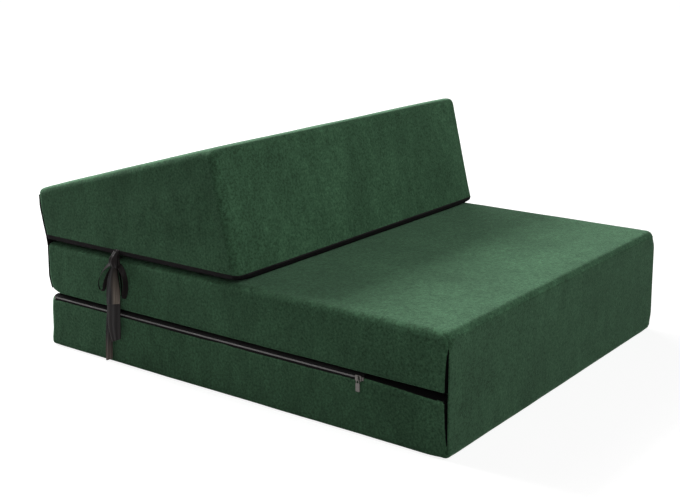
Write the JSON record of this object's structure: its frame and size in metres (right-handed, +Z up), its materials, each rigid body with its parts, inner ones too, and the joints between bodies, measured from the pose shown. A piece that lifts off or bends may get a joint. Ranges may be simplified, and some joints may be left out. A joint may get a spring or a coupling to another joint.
{
  "type": "folding mattress",
  "caption": "Fold-out foam mattress folded into a low lounge seat: stacked slabs joined at the front, a wedge backrest on top, a zip and ribbon bows at the sides.",
  "frame": {"origin": "on the floor, at the centre of the stacked slabs' footprint", "axes": "+Z up, -Y towards the front edge where the slabs are joined, +Y towards the backrest, -X the side with the zip"},
  "size_m": [0.7262, 0.8182, 0.3812],
  "materials": {
    "green_velour": "soft brushed velour with a short nap",
    "dark_lining": "matt woven lining",
    "foam": "open-cell polyurethane foam",
    "zip_tape": "matt woven tape",
    "zip_coil": "satin moulded coil",
    "zip_metal": "dark lacquered zinc",
    "satin_ribbon": "glossy satin"
  },
  "bodies": {
    "base": {"base_cover": "green_velour", "base_foam": "foam", "front_panel_lower": "green_velour", "zip_lower_tape": "zip_tape", "zip_upper_tape": "zip_tape", "zip_lower_teeth": "zip_coil", "zip_upper_teeth": "zip_coil", "zip_front_stop": "zip_metal", "zip_back_stop": "zip_metal"},
    "slider": {"zip_slider": "zip_metal"},
    "pull": {"zip_pull": "zip_metal"},
    "seat": {"seat_cover": "green_velour", "seat_foam": "foam", "front_panel_upper": "green_velour", "seat_back_panel": "dark_lining", "tie_knot_left": "satin_ribbon", "tie_seat_lead_left": "satin_ribbon", "tie_back_loop_left": "satin_ribbon", "tie_front_loop_left": "satin_ribbon", "tie_short_tail_left": "satin_ribbon", "tie_middle_tail_left": "satin_ribbon", "tie_long_tail_left": "satin_ribbon", "tie_knot_right": "satin_ribbon", "tie_seat_lead_right": "satin_ribbon", "tie_back_loop_right": "satin_ribbon", "tie_front_loop_right": "satin_ribbon", "tie_short_tail_right": "satin_ribbon", "tie_middle_tail_right": "satin_ribbon", "tie_long_tail_right": "satin_ribbon"},
    "wedge": {"wedge_cover": "green_velour", "wedge_lining": "dark_lining", "wedge_foam": "foam", "wedge_back_panel": "dark_lining", "tie_wedge_lead_left": "satin_ribbon", "tie_wedge_lead_right": "satin_ribbon"}
  },
  "joints": [
    {"name": "seat_fold", "type": "hinge", "parent": "base", "child": "seat", "pos_m": [0, -0.3992, 0.0914], "axis": [1, 0, 0], "range_deg": [0, 180]},
    {"name": "wedge_fold", "type": "hinge", "parent": "seat", "child": "wedge", "pos_m": [0, 0.4104, 0.1826], "axis": [-1, 0, 0], "range_deg": [0, 180]},
    {"name": "slider_slide", "type": "slide", "parent": "base", "child": "slider", "axis": [0, 1, 0], "range_m": [0, 0.627]},
    {"name": "pull_swing", "type": "hinge", "parent": "slider", "child": "pull", "pos_m": [-0.34585, -0.2505, 0.0836], "axis": [0, 1, 0], "range_deg": [0, 150]}
  ]
}
